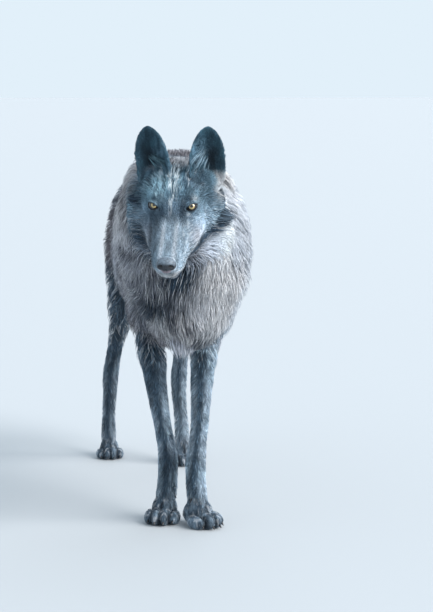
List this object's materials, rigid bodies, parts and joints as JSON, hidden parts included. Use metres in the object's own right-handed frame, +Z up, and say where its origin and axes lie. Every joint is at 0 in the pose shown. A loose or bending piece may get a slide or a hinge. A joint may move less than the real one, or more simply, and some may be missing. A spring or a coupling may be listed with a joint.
{
  "type": "grey wolf",
  "caption": "Black-phase grey wolf in a shaggy winter coat, standing with its head lowered and turned a little, as a still life-size model.",
  "frame": {"origin": "on the floor, under the middle of the whole box", "axes": "+Z up, the wolf looks along -Y, its tail is towards +Y and its own left side is at +X"},
  "size_m": [0.3224, 1.2255, 0.9134],
  "materials": {
    "black_coat": "black and blue-grey wolf fur, matt, short on the face and legs",
    "grey_coat": "long grizzled grey-brown wolf fur",
    "silver_coat": "long silver-grey ruff fur with dark tips",
    "nose_leather": "bare black nose pad, slightly moist and pebbled",
    "amber_eye": "wet amber eye with a black pupil and dark rim"
  },
  "bodies": {
    "root": {"head": "black_coat", "neck": "silver_coat", "trunk": "grey_coat", "tail": "black_coat", "nose": "nose_leather", "eye_left": "amber_eye", "eye_right": "amber_eye", "ear_left": "black_coat", "ear_right": "black_coat", "foreleg_left": "black_coat", "foreleg_right": "black_coat", "hindleg_left": "black_coat", "hindleg_right": "black_coat", "forepaw_left": "black_coat", "forepaw_right": "black_coat", "hindpaw_left": "black_coat", "hindpaw_right": "black_coat"}
  },
  "joints": []
}
